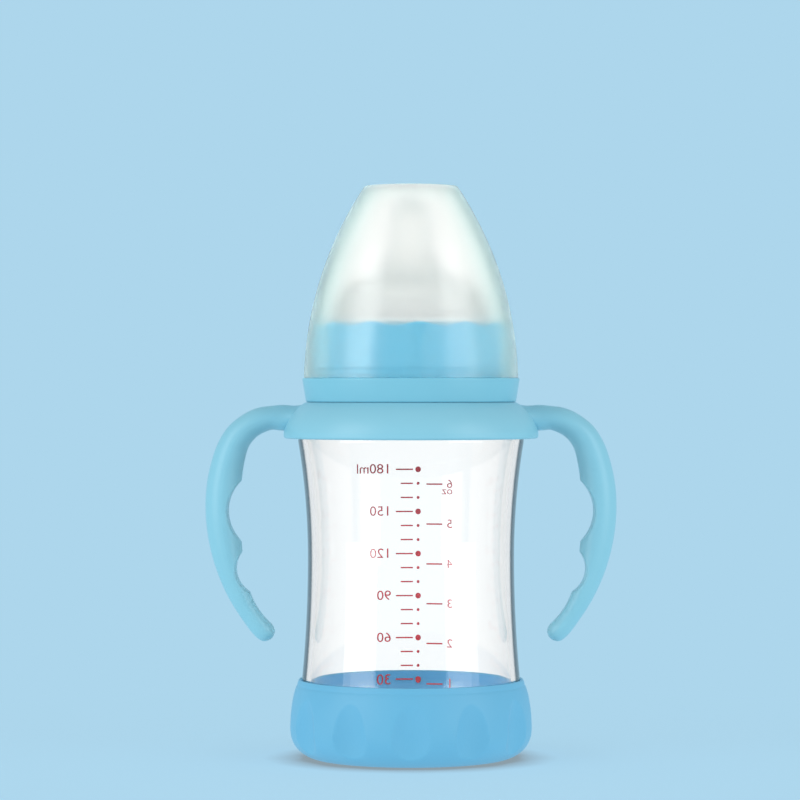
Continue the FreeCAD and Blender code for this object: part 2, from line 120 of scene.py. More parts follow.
def add_node(tree: bpy.types.NodeTree, kind: str, settings: dict[str, Any] | None = None,
             inputs: dict[str | int, Any] | None = None) -> bpy.types.Node:
    """Add a node to a tree, with its settings and its links.

    Args:
        tree: The tree that takes the node.
        kind: Blender's name of the node type.
        settings: Values of the node's own properties.
        inputs: Values of its sockets by name or place; a socket as a value makes a link.

    Returns:
        The new node.
    """
    node = tree.nodes.new(kind)
    for name, value in (settings or {}).items():
        setattr(node, name, value)
    for key, value in (inputs or {}).items():
        if isinstance(value, bpy.types.NodeSocket):
            tree.links.new(value, node.inputs[key])
        else:
            node.inputs[key].default_value = value
    return node


def empty_material(name: str) -> tuple[bpy.types.Material, bpy.types.NodeTree]:
    """Make a material without nodes.

    Args:
        name: The material's name.

    Returns:
        The material and its node tree.
    """
    material = bpy.data.materials.new(name)
    material.use_nodes = True
    material.node_tree.nodes.clear()
    return material, material.node_tree


def placed(name: str, data: bpy.types.ID) -> bpy.types.Object:
    """Add an object to the scene.

    Args:
        name: The object's name.
        data: Its mesh, curve, lamp or camera.

    Returns:
        The new object.
    """
    thing = bpy.data.objects.new(name, data)
    bpy.context.scene.collection.objects.link(thing)
    return thing


class Outline:
    """A run of points in the half plane of radius and height."""

    def __init__(self, start: Point) -> None:
        """Start at a point."""
        self.points: list[Point] = [start]
        self.inside_from: int | None = None

    def line(self, end: Point, run: float | None = None) -> "Outline":
        """Draw a straight run.

        Args:
            end: Where it ends.
            run: The largest spacing of its points, or None for its end alone.

        Returns:
            The outline itself.
        """
        here = self.points[-1]
        count = 1 if run is None else max(1, math.ceil(math.dist(here, end) / run))
        for index in range(1, count + 1):
            share = index / count
            self.points.append((here[0] + (end[0] - here[0]) * share,
                                here[1] + (end[1] - here[1]) * share))
        return self

    def arc(self, centre: Point, end: Point, run: float = ARC_RUN) -> "Outline":
        """Draw the shorter arc about a centre.

        Args:
            centre: The arc's centre.
            end: Where it ends.
            run: The largest spacing of its points.

        Returns:
            The outline itself.
        """
        here = self.points[-1]
        reach = math.dist(centre, end)
        first = math.atan2(here[1] - centre[1], here[0] - centre[0])
        last = math.atan2(end[1] - centre[1], end[0] - centre[0])
        turn = math.remainder(last - first, math.tau)
        count = max(2, math.ceil(abs(turn) / ARC_TURN), math.ceil(abs(turn) * reach / run))
        for index in range(1, count):
            angle = first + turn * index / count
            self.points.append((centre[0] + reach * math.cos(angle),
                                centre[1] + reach * math.sin(angle)))
        self.points.append(end)
        return self

    def corner(self, tip: Point, following: Point, radius: float) -> "Outline":
        """Draw a run to a corner and round it toward the point that follows.

        Args:
            tip: The corner before it is rounded.
            following: A point on the run that leaves the corner.
            radius: The corner's radius.

        Returns:
            The outline itself.
        """
        middle = Vector(tip)
        back = (Vector(self.points[-1]) - middle).normalized()
        ahead = (Vector(following) - middle).normalized()
        half = back.angle(ahead) / 2
        reach = radius / math.tan(half)
        centre = middle + (back + ahead).normalized() * (radius / math.sin(half))
        self.line(tuple(middle + back * reach))
        return self.arc(tuple(centre), tuple(middle + ahead * reach))

    def turn_inside(self) -> "Outline":
        """Mark the last point as the place where the outside ends and the inside begins."""
        self.inside_from = len(self.points) - 1
        return self


def beside(centre: float, reach: float, rise: float, side: int = 1) -> float:
    """Return the radius at a rise from a centre, on the circle of a given reach."""
    return centre + side * math.sqrt(reach * reach - rise * rise)


def toward(start: Point, end: Point, length: float) -> Point:
    """Return the point that lies a length from start on the way to end."""
    share = length / math.dist(start, end)
    return start[0] + (end[0] - start[0]) * share, start[1] + (end[1] - start[1]) * share


def smooth_step(share: float) -> float:
    """Ease a share that is held between 0 and 1."""
    held = min(1.0, max(0.0, share))
    return held * held * (3 - 2 * held)


def soft_least(first: float, second: float, blend: float) -> float:
    """Return the lesser of two lengths, rounded where they are nearly equal."""
    near = max(blend - abs(first - second), 0.0) / blend
    return min(first, second) - near * near * blend / 4


def pressed(centre: float, reach: float, turn: float) -> float:
    """Return how near the axis an upright round cutter comes.

    Args:
        centre: The cutter's distance from the axis.
        reach: The cutter's radius.
        turn: The angle round the axis from the cutter.

    Returns:
        The radius at which a line from the axis meets the cutter, or the cutter's distance
        where the line misses it.
    """
    side = centre * math.sin(turn)
    if abs(side) >= reach:
        return centre
    return centre * math.cos(turn) - math.sqrt(reach ** 2 - side ** 2)


def finished(name: str, work: bmesh.types.BMesh) -> bpy.types.Object:
    """Turn a worked mesh into a smooth object in the scene.

    Args:
        name: The piece's name.
        work: The worked mesh, which is freed.

    Returns:
        The new object.
    """
    bmesh.ops.recalc_face_normals(work, faces=work.faces)
    mesh = bpy.data.meshes.new(name)
    work.to_mesh(mesh)
    work.free()
    mesh.shade_smooth()
    mesh.set_sharp_from_angle(angle=SHARP)
    return placed(name, mesh)


def turned(name: str, outline: Outline, segments: int,
           reshape: Reshape | None = None) -> bpy.types.Object:
    """Turn an outline round the axis into a closed mesh.

    Args:
        name: The piece's name.
        outline: It starts and ends on the axis, or closes on itself. Its inside takes a
            second material.
        segments: How many steps go round the axis.
        reshape: Gives the new radius and height at an angle, a radius and a height.

    Returns:
        The new object.
    """
    work = bmesh.new()
    rings = []
    for radius, height in outline.points:
        if radius < ON_AXIS:
            rings.append([work.verts.new((0, 0, height * MM))])
            continue
        ring = []
        for index in range(segments):
            angle = math.tau * index / segments
            reach, rise = reshape(angle, radius, height) if reshape else (radius, height)
            ring.append(work.verts.new((reach * MM * math.cos(angle),
                                        reach * MM * math.sin(angle), rise * MM)))
        rings.append(ring)
    pairs = list(zip(rings, rings[1:]))
    if len(rings[0]) > 1:
        pairs.append((rings[-1], rings[0]))
    for place, (low, high) in enumerate(pairs):
        inside = outline.inside_from is not None and place >= outline.inside_from
        for index in range(segments):
            after = (index + 1) % segments
            corners = (low[index % len(low)], low[after % len(low)],
                       high[after % len(high)], high[index % len(high)])
            work.faces.new(list(dict.fromkeys(corners))).material_index = int(inside)
    return finished(name, work)


@dataclass(frozen=True)
class Thread:
    """One start of a right-hand screw ridge, in millimetres and turns."""

    foot_z: float
    pitch: float = 5.0
    turns: float = 1.6
    depth: float = 1.0
    root: float = 2.3
    crest: float = 1.0
    fade: float = 0.12

    def height(self, way: float) -> float:
        """Return the ridge's middle height after a number of turns."""
        return self.foot_z + self.pitch * way

    def share(self, way: float) -> float:
        """Return how full the ridge is after a number of turns, from 0 at its two ends."""
        return smooth_step(min(way, self.turns - way) / self.fade)

    def rise(self, angle: float, height: float) -> float:
        """Return how far the ridge stands out.

        Args:
            angle: The angle round the axis.
            height: The height on the wall.

        Returns:
            The ridge's height off its wall.
        """
        best = 0.0
        flank = (self.root - self.crest) / 2
        for lap in range(math.ceil(self.turns)):
            way = angle / math.tau + lap
            across = self.root / 2 - abs(height - self.height(way))
            best = max(best, self.depth * self.share(way) * smooth_step(across / flank))
        return best


@dataclass(frozen=True)
class Relief:
    """The fine unevenness of a surface: noise of a real size, and the bump that it makes."""

    size_mm: float
    depth_mm: float
    strength: float
    detail: float = 2.0

    def sockets(self, tree: bpy.types.NodeTree) -> tuple[bpy.types.NodeSocket, ...]:
        """Lay the unevenness on a material.

        Args:
            tree: The material's node tree.

        Returns:
            The noise and the bumped normal.
        """
        place = add_node(tree, "ShaderNodeTexCoord")
        noise = add_node(tree, "ShaderNodeTexNoise", inputs={
            "Vector": place.outputs["Object"], "Scale": 1 / (self.size_mm * MM),
            "Detail": self.detail})
        bump = add_node(tree, "ShaderNodeBump", inputs={
            "Height": noise.outputs["Fac"], "Strength": self.strength,
            "Distance": self.depth_mm * MM})
        return noise.outputs["Fac"], bump.outputs["Normal"]


@dataclass(frozen=True)
class BorosilicateGlass:
    """Clear borosilicate glass, blown in a mould and fire polished.

    It gives the eye a bright, faintly uneven clearness. The outside carries painted shade: it greys
    toward the sides and ends in a thin painted dark line, where the line of sight runs along the
    wall. The inside stays clear.
    """

    name: str
    greying: bool
    clear: str = "#FBFCFC"
    side: str = "#C9C8C7"
    # Colours of the painted shade at the sides and of the painted dark outline.
    outline: str = "#0A0B0C"
    side_from: float = 0.08
    side_to: float = 0.72
    outline_from: float = 0.68
    outline_to: float = 0.74
    ior: float = 1.47
    roughness: float = 0.0
    wave: Relief = Relief(14.0, 0.02, 0.3, detail=1.0)

    def tone(self, tree: bpy.types.NodeTree) -> bpy.types.NodeSocket:
        """Paint shade on the glass, grading it from clear, through grey, to the dark of its
        outline.

        Args:
            tree: The material's node tree.

        Returns:
            The graded colour.
        """
        facing = add_node(tree, "ShaderNodeLayerWeight", inputs={"Blend": EVEN_BLEND})
        grey = add_node(tree, "ShaderNodeMapRange", inputs={
            "Value": facing.outputs["Facing"],
            "From Min": self.side_from, "From Max": self.side_to})
        dark = add_node(tree, "ShaderNodeMapRange", SMOOTH, {
            "Value": facing.outputs["Facing"],
            "From Min": self.outline_from, "From Max": self.outline_to})
        toned = add_node(tree, "ShaderNodeMix", COLOURS, {
            SHARE: grey.outputs["Result"], FIRST: linear(self.clear), SECOND: linear(self.side)})
        edged = add_node(tree, "ShaderNodeMix", COLOURS, {
            SHARE: dark.outputs["Result"], FIRST: toned.outputs[MIXED],
            SECOND: linear(self.outline)})
        return edged.outputs[MIXED]

    def material(self) -> bpy.types.Material:
        """Build the glass.

        Returns:
            The finished material.
        """
        material, tree = empty_material(self.name)
        _, normal = self.wave.sockets(tree)
        shader = add_node(tree, "ShaderNodeBsdfPrincipled", inputs={
            # Only the outside takes the painted shade.
            "Base Color": self.tone(tree) if self.greying else linear(self.clear),
            "Roughness": self.roughness, "IOR": self.ior, "Transmission Weight": 1.0,
            "Normal": normal})
        add_node(tree, "ShaderNodeOutputMaterial", inputs={"Surface": shader.outputs["BSDF"]})
        return material


@dataclass(frozen=True)
class FrostedPolypropylene:
    """Unpigmented polypropylene, moulded against a frosted tool.

    It gives the eye a milky veil that blurs what stands behind it, more so the further off it
    stands, with a cool green cast where the line of sight runs along the wall.
    """

    name: str = "polypropylene_frosted_moulded"
    face: str = "#FEFEFC"
    edge: str = "#E4F8F5"
    edge_from: float = 0.15
    edge_to: float = 0.85
    ior: float = 1.12
    roughness: float = 0.7
    spread: float = 0.03
    coat: float = 1.0
    coat_ior: float = 1.49
    coat_roughness: float = 0.24
    grain: Relief = Relief(0.45, 0.02, 0.15)
    cloud_mm: float = 9.0
    cloud_detail: float = 2.0

    def material(self) -> bpy.types.Material:
        """Build the frosted plastic. The grain is drawn coarser than real so that it shows.

        Returns:
            The finished material.
        """
        material, tree = empty_material(self.name)
        _, normal = self.grain.sockets(tree)
        facing = add_node(tree, "ShaderNodeLayerWeight", inputs={"Blend": EVEN_BLEND})
        along = add_node(tree, "ShaderNodeMapRange", SMOOTH, {
            "Value": facing.outputs["Facing"],
            "From Min": self.edge_from, "From Max": self.edge_to})
        tone = add_node(tree, "ShaderNodeMix", COLOURS, {
            SHARE: along.outputs["Result"], FIRST: linear(self.face), SECOND: linear(self.edge)})
        place = add_node(tree, "ShaderNodeTexCoord")
        cloud = add_node(tree, "ShaderNodeTexNoise", inputs={
            "Vector": place.outputs["Object"], "Scale": 1 / (self.cloud_mm * MM),
            "Detail": self.cloud_detail})
        rough = add_node(tree, "ShaderNodeMapRange", inputs={
            "Value": cloud.outputs["Fac"],
            "To Min": self.roughness - self.spread, "To Max": self.roughness + self.spread})
        shader = add_node(tree, "ShaderNodeBsdfPrincipled", inputs={
            "Base Color": tone.outputs[MIXED], "Roughness": rough.outputs["Result"],
            "IOR": self.ior, "Transmission Weight": 1.0, "Coat Weight": self.coat,
            "Coat IOR": self.coat_ior, "Coat Roughness": self.coat_roughness, "Normal": normal})
        add_node(tree, "ShaderNodeOutputMaterial", inputs={"Surface": shader.outputs["BSDF"]})
        return material


@dataclass(frozen=True)
class MouldedColour:
    """A pigmented moulding: satin polypropylene or matte silicone rubber.

    Polypropylene gives the eye an even colour with soft, broad lights and the fine grain of a
    spark-eroded tool. Silicone rubber gives a duller face, a faint bloom and a softer grain.
    """

    name: str
    colour: str
    cloud: str
    roughness: float
    ior: float
    grain: Relief
    spread: float = 0.03
    cloud_mm: float = 7.0
    cloud_detail: float = 3.0
    sheen: float = 0.0
    sheen_roughness: float = 0.4

    def material(self) -> bpy.types.Material:
        """Build the moulding. The grain is drawn coarser than real so that it shows.

        Returns:
            The finished material.
        """
        material, tree = empty_material(self.name)
        grain, normal = self.grain.sockets(tree)
        place = add_node(tree, "ShaderNodeTexCoord")
        cloud = add_node(tree, "ShaderNodeTexNoise", inputs={
            "Vector": place.outputs["Object"], "Scale": 1 / (self.cloud_mm * MM),
            "Detail": self.cloud_detail})
        tone = add_node(tree, "ShaderNodeMix", COLOURS, {
            SHARE: cloud.outputs["Fac"], FIRST: linear(self.colour), SECOND: linear(self.cloud)})
        rough = add_node(tree, "ShaderNodeMapRange", inputs={
            "Value": grain,
            "To Min": self.roughness - self.spread, "To Max": self.roughness + self.spread})
        shader = add_node(tree, "ShaderNodeBsdfPrincipled", inputs={
            "Base Color": tone.outputs[MIXED], "Roughness": rough.outputs["Result"],
            "IOR": self.ior, "Sheen Weight": self.sheen,
            "Sheen Roughness": self.sheen_roughness, "Normal": normal})
        add_node(tree, "ShaderNodeOutputMaterial", inputs={"Surface": shader.outputs["BSDF"]})
        return material


@dataclass(frozen=True)
class TeatSilicone:
    """Clear liquid silicone rubber, moulded with a fine matte skin.

    It gives the eye a soft grey translucency, clearer where the wall is thin.
    """

    name: str = "silicone_rubber_translucent_moulded"
    colour: str = "#FFFFFE"
    edge: str = "#F0F5F4"
    ior: float = 1.2
    roughness: float = 0.5
    spread: float = 0.05
    transmission: float = 0.99
    grain: Relief = Relief(0.5, 0.02, 0.2)

    def material(self) -> bpy.types.Material:
        """Build the rubber. The grain is drawn coarser than real so that it shows.

        Returns:
            The finished material.
        """
        material, tree = empty_material(self.name)
        grain, normal = self.grain.sockets(tree)
        facing = add_node(tree, "ShaderNodeLayerWeight", inputs={"Blend": EVEN_BLEND})
        tone = add_node(tree, "ShaderNodeMix", COLOURS, {
            SHARE: facing.outputs["Facing"], FIRST: linear(self.colour),
            SECOND: linear(self.edge)})
        rough = add_node(tree, "ShaderNodeMapRange", inputs={
            "Value": grain,
            "To Min": self.roughness - self.spread, "To Max": self.roughness + self.spread})
        shader = add_node(tree, "ShaderNodeBsdfPrincipled", inputs={
            "Base Color": tone.outputs[MIXED], "Roughness": rough.outputs["Result"],
            "IOR": self.ior, "Transmission Weight": self.transmission, "Normal": normal})
        add_node(tree, "ShaderNodeOutputMaterial", inputs={"Surface": shader.outputs["BSDF"]})
        return material


@dataclass(frozen=True)
class CeramicInk:
    """Red ceramic ink, screen printed on the glass and fired.

    It gives the eye a flat, slightly glossy red with small changes of depth from the screen.
    """

    name: str = "ceramic_ink_red_fired"
    colour: str = "#F62F36"
    thin: str = "#F8474D"
    thin_from: float = 0.45
    thin_to: float = 0.75
    roughness: float = 0.35
    ior: float = 1.1
    screen_mm: float = 0.5
    screen_detail: float = 1.0

    def material(self) -> bpy.types.Material:
        """Build the ink. The screen's dots are drawn coarser than real so that they show.

        Returns:
            The finished material.
        """
        material, tree = empty_material(self.name)
        place = add_node(tree, "ShaderNodeTexCoord")
        screen = add_node(tree, "ShaderNodeTexNoise", inputs={
            "Vector": place.outputs["Object"], "Scale": 1 / (self.screen_mm * MM),
            "Detail": self.screen_detail})
        depth = add_node(tree, "ShaderNodeMapRange", inputs={
            "Value": screen.outputs["Fac"],
            "From Min": self.thin_from, "From Max": self.thin_to})
        tone = add_node(tree, "ShaderNodeMix", COLOURS, {
            SHARE: depth.outputs["Result"], FIRST: linear(self.colour),
            SECOND: linear(self.thin)})
        shader = add_node(tree, "ShaderNodeBsdfPrincipled", inputs={
            "Base Color": tone.outputs[MIXED], "Roughness": self.roughness, "IOR": self.ior})
        add_node(tree, "ShaderNodeOutputMaterial", inputs={"Surface": shader.outputs["BSDF"]})
        return material


RUBBER_GRAIN = Relief(0.6, 0.04, 0.25)
RING_PLASTIC = MouldedColour(
    "polypropylene_satin_pale_blue", "#88C9DD", "#8DCCDF", 0.38, 1.49, Relief(0.45, 0.03, 0.25))
COLLAR_PLASTIC = MouldedColour(
    "polypropylene_satin_sky_blue", "#7CC3D9", "#80C6DB", 0.30, 1.49, Relief(0.45, 0.02, 0.25))
COVER_SILICONE = MouldedColour(
    "silicone_rubber_matte_sky_blue", "#69B8DD", "#6FBBDE", 0.45, 1.41, RUBBER_GRAIN, sheen=0.08)
# The inside of the cup is the same silicone as the outside, painted brighter and more saturated as
# painted light behind the glass.
COVER_INSIDE_PAINTED_LIGHT = MouldedColour(
    "silicone_rubber_matte_sky_blue_painted_light", "#60BCF6", "#66BFF7", 0.5, 1.41, RUBBER_GRAIN)
# The outside of the glass carries painted shade at its sides and a painted dark outline; the inside
# does not.
GLASS_OUTSIDE = BorosilicateGlass("borosilicate_glass_outside_painted_shade", True)
GLASS_INSIDE = BorosilicateGlass("borosilicate_glass_blown", False)


@dataclass
class SubAssembly:
    """Pieces that ride on one body of the bottle; the slot that they share is stored but not given
    to them.
    """

    body: str
    slot: Slot

    def build(self) -> None:
        """Build the pieces and dress them."""
        raise NotImplementedError

    def wear(self, piece: bpy.types.Object, material: bpy.types.Material) -> bpy.types.Object:
        """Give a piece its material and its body.

        Args:
            piece: A new piece, or a solid that stays as it is.
            material: Its finish.

        Returns:
            The piece.
        """
        if "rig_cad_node" in piece:
            for place in piece.material_slots:
                place.material = material
        else:
            piece.data.materials.append(material)
            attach(piece, self.body)
        LOG.info("%s rides on %s in %s", piece.name, self.body, material.name)
        return piece


@dataclass(frozen=True)
class Wall:
    """The circles that the glass runs along, offset outward by a distance."""

    offset: float
    heel_radius: float
    floor_z: float
    waist: float = 29.4
    waist_z: float = 57.0
    lower_flare: float = 360.0
    upper_flare: float = 200.0
    shoulder_z: float = 90.6
    shoulder_round: float = 5.2

    @property
    def lower(self) -> Point:
        """The lower flare's centre."""
        return self.waist + self.lower_flare, self.waist_z

    @property
    def upper(self) -> Point:
        """The upper flare's centre."""
        return self.waist + self.upper_flare, self.waist_z

    @property
    def heel(self) -> Point:
        """Find the heel's circle, which touches the floor and the lower flare.

        Returns:
            The heel's centre.
        """
        height = self.floor_z + self.heel_radius
        span = self.lower_flare - self.offset + self.heel_radius
        return beside(self.lower[0], span, self.waist_z - height, -1), height

    @property
    def foot(self) -> Point:
        """Where the heel meets the floor."""
        return self.heel[0], self.floor_z

    @property
    def heel_end(self) -> Point:
        """Where the heel meets the lower flare."""
        return toward(self.heel, self.lower, self.heel_radius)

    @property
    def waist_point(self) -> Point:
        """The narrowest point."""
        return self.waist + self.offset, self.waist_z

    @property
    def shoulder(self) -> Point:
        """The shoulder's centre."""
        span = self.upper_flare + self.shoulder_round
        return beside(self.upper[0], span, self.shoulder_z - self.waist_z, -1), self.shoulder_z

    @property
    def shoulder_start(self) -> Point:
        """Where the upper flare meets the shoulder."""
        return toward(self.shoulder, self.upper, self.shoulder_round + self.offset)

    @property
    def crown(self) -> Point:
        """The shoulder's top."""
        return self.shoulder[0], self.shoulder_z + self.shoulder_round + self.offset

    def radius(self, height: float) -> float:
        """Measure the wall between the floor and the shoulder.

        Args:
            height: The height above the table.

        Returns:
            The radius of the wall there.
        """
        if height < self.heel_end[1]:
            return beside(self.heel[0], self.heel_radius, height - self.heel[1])
        centre, flare = self.upper, self.upper_flare
        if height < self.waist_z:
            centre, flare = self.lower, self.lower_flare
        return beside(centre[0], flare - self.offset, height - self.waist_z, -1)


OUTER_WALL = Wall(0.0, 18.0, 2.6)


@dataclass
class GlassBottle(SubAssembly):
    """The waisted bottle, with the screw ridge on its neck."""

    outer: Wall = OUTER_WALL
    inner: Wall = Wall(-2.4, 14.5, 5.4)
    recess: float = 13.0
    recess_depth: float = 0.8
    step_radius: float = 25.35
    step_z: float = 100.2
    step_fillet: float = 0.8
    neck: float = 24.2
    neck_bore: float = 21.8
    rim_z: float = 119.9
    rim_round: float = 0.9
    inner_fillet: float = 2.0
    thread: Thread = Thread(104.6)
    thread_run: float = 0.3
    segments: int = 240

    def outline(self) -> Outline:
        """Draw the glass from the middle of its foot, up the outside and down the inside.

        Returns:
            The glass's outline.
        """
        outer, inner = self.outer, self.inner
        foot_z = outer.floor_z
        dome = (self.recess ** 2 + self.recess_depth ** 2) / (2 * self.recess_depth)
        drawn = Outline((0.0, foot_z + self.recess_depth))
        drawn.arc((0.0, foot_z + self.recess_depth - dome), (self.recess, foot_z))
        drawn.line(outer.foot).arc(outer.heel, outer.heel_end).arc(outer.lower, outer.waist_point)
        drawn.arc(outer.upper, outer.shoulder_start)
        span = outer.shoulder_round + self.step_fillet
        fillet_r = self.step_radius + self.step_fillet
        fillet_rise = math.sqrt(span ** 2 - (fillet_r - outer.shoulder[0]) ** 2)
        fillet = (fillet_r, outer.shoulder_z + fillet_rise)
        drawn.arc(outer.shoulder, toward(outer.shoulder, fillet, outer.shoulder_round))
        drawn.arc(fillet, (self.step_radius, fillet[1]))
        step = self.step_radius - self.neck
        drawn.line((self.step_radius, self.step_z - step)).line((self.neck, self.step_z))
        thread_top = self.thread.height(self.thread.turns) + self.thread.root
        drawn.line((self.neck, thread_top), self.thread_run)
        rim, lip = (self.neck, self.rim_z), (self.neck_bore, self.rim_z)
        throat = (self.neck_bore, inner.crown[1])
        drawn.corner(rim, lip, self.rim_round).turn_inside()
        drawn.corner(lip, throat, self.rim_round).corner(throat, inner.crown, self.inner_fillet)
        drawn.line(inner.crown).arc(inner.shoulder, inner.shoulder_start)
        drawn.arc(inner.upper, inner.waist_point)
        drawn.arc(inner.lower, inner.heel_end).arc(inner.heel, inner.foot)
        return drawn.line((0.0, inner.floor_z))

    def threaded(self, angle: float, radius: float, height: float) -> Point:
        """Add the screw ridge on the outside of the neck.

        Args:
            angle: The angle round the axis.
            radius: The plain radius.
            height: The height.

        Returns:
            The radius and height with the ridge.
        """
        if abs(radius - self.neck) > ON_AXIS or height < self.step_z:
            return radius, height
        return radius + self.thread.rise(angle, height), height

    def build(self) -> None:
        """Build the glass in place of its solid, and let light through to what it holds."""
        glass = turned("bottle_glass", self.outline(), self.segments, self.threaded)
        self.wear(glass, GLASS_OUTSIDE.material())
        glass.data.materials.append(GLASS_INSIDE.material())
        glass.visible_shadow = False
        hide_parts("glass_bottle")


@dataclass
class PrintedScale(SubAssembly):
    """The volume scale, printed on the back of the glass to be read from behind.

    Places across are to the right as the scale is read, along the curve of the glass.
    """

    wall: Wall = OUTER_WALL
    first_ml: int = 30
    last_ml: int = 180
    fine_ml: int = 10
    first_z: float = 19.8
    ml_mm: float = 12.34 / 30
    ounce_ml: float = 28.41
    ounces: int = 6
    dot_at: float = -2.2
    dot_radius: float = 0.86
    fine_dot_radius: float = 0.45
    tick: Point = (-0.6, 4.7)
    fine_tick: Point = (-0.6, 3.2)
    ounce_tick: Point = (-9.9, -4.8)
    ounce_drop: float = 0.4
    line_width: float = 0.42
    number_at: float = 6.1
    number_size: float = 4.0
    ounce_number_at: float = -13.4
    ounce_number_size: float = 3.6
    ounce_word_size: float = 3.2
    ounce_word_drop: float = 2.0
    figure_stretch: float = 1.2
    figure_steps: int = 4
    sunk: float = 0.03
    proud: float = 0.05
    slice_mm: float = 0.6
    merge_mm: float = 1e-4
    on_cut_mm: float = 1e-5
    dot_steps: int = 28

    def height(self, volume_ml: float) -> float:
        """Return the height of a volume's mark."""
        return self.first_z + (volume_ml - self.first_ml) * self.ml_mm

    def on_glass(self, across: float, height: float, depth: float) -> Vector:
        """Return the place on the back of the glass.

        Args:
            across: The way to the right as the scale is read.
            height: The height above the floor.
            depth: The height off the glass.

        Returns:
            The place in metres.
        """
        skin = self.wall.radius(height)
        angle = across / skin
        reach = skin + depth
        return Vector((-reach * math.sin(angle), reach * math.cos(angle), height)) * MM

    def bar(self, work: bmesh.types.BMesh, ends: Point, height: float) -> None:
        """Draw a flat tick.

        Args:
            work: The mesh that takes it.
            ends: The places across where it starts and ends.
            height: The height of its middle.
        """
        half = self.line_width / 2
        corners = ((ends[0], -half), (ends[1], -half), (ends[1], half), (ends[0], half))
        work.faces.new([work.verts.new((x, height + z, 0)) for x, z in corners])

    def dot(self, work: bmesh.types.BMesh, radius: float, height: float) -> None:
        """Draw a flat dot in the column of dots.

        Args:
            work: The mesh that takes it.
            radius: The dot's radius.
            height: The height of its middle.
        """
        turns = [math.tau * index / self.dot_steps for index in range(self.dot_steps)]
        work.faces.new([work.verts.new((self.dot_at + radius * math.cos(turn),
                                        height + radius * math.sin(turn), 0))
                        for turn in turns])

    def words(self, work: bmesh.types.BMesh, text: str, across: float, height: float,
              size: float) -> None:
        """Draw flat figures.

        Args:
            work: The mesh that takes them.
            text: What is written.
            across: Where the writing starts.
            height: The height of its middle.
            size: The size of the type.
        """
        curve = bpy.data.curves.new("figures", "FONT")
        curve.body = text
        curve.size = size
        curve.align_y = "CENTER"
        curve.resolution_u = self.figure_steps
        holder = placed("figures", curve)
        bpy.context.view_layer.update()
        shown = holder.evaluated_get(bpy.context.evaluated_depsgraph_get())
        flat = bpy.data.meshes.new_from_object(shown)
        stretch = Matrix.Diagonal((self.figure_stretch, 1, 1, 1))
        flat.transform(Matrix.Translation((across, height, 0)) @ stretch)
        work.from_mesh(flat)
        bpy.data.objects.remove(holder)
        bpy.data.curves.remove(curve)
        bpy.data.meshes.remove(flat)

    def printed(self, name: str, work: bmesh.types.BMesh) -> bpy.types.Object:
        """Cut a flat drawing into narrow slices, give it a thickness and lay it on the glass.

        Args:
            name: The piece's name.
            work: The flat drawing.

        Returns:
            The printed piece.
        """
        bmesh.ops.remove_doubles(work, verts=work.verts, dist=self.merge_mm)
        low = min(vertex.co.x for vertex in work.verts)
        high = max(vertex.co.x for vertex in work.verts)
        for index in range(1, math.ceil((high - low) / self.slice_mm)):
            cut = Vector((low + index * self.slice_mm, 0, 0))
            parts = work.verts[:] + work.edges[:] + work.faces[:]
            bmesh.ops.bisect_plane(work, geom=parts, dist=self.on_cut_mm, plane_co=cut,
                                   plane_no=Vector((1, 0, 0)))
        raised = bmesh.ops.extrude_face_region(work, geom=work.faces[:], use_keep_orig=True)
        top = {item for item in raised["geom"] if isinstance(item, bmesh.types.BMVert)}
        for vertex in work.verts:
            depth = self.proud if vertex in top else -self.sunk
            vertex.co = self.on_glass(vertex.co.x, vertex.co.y, depth)
        return finished(name, work)

    def build(self) -> None:
        """Print the marks and the figures."""
        ink = CeramicInk().material()
        marks, figures = bmesh.new(), bmesh.new()
        for volume in range(self.first_ml, self.last_ml + 1, self.fine_ml):
            level = self.height(volume)
            main = volume % self.first_ml == 0
            self.dot(marks, self.dot_radius if main else self.fine_dot_radius, level)
            self.bar(marks, self.tick if main else self.fine_tick, level)
            if main:
                unit = "ml" if volume == self.last_ml else ""
                self.words(figures, f"{volume}{unit}", self.number_at, level, self.number_size)
        for ounce in range(1, self.ounces + 1):
            level = self.height(ounce * self.ounce_ml) - self.ounce_drop
            self.bar(marks, self.ounce_tick, level)
            self.words(figures, str(ounce), self.ounce_number_at, level, self.ounce_number_size)
        self.words(figures, "oz", self.ounce_number_at, level - self.ounce_word_drop,
                   self.ounce_word_size)
        self.wear(self.printed("scale_marks", marks), ink)
        self.wear(self.printed("scale_figures", figures), ink)


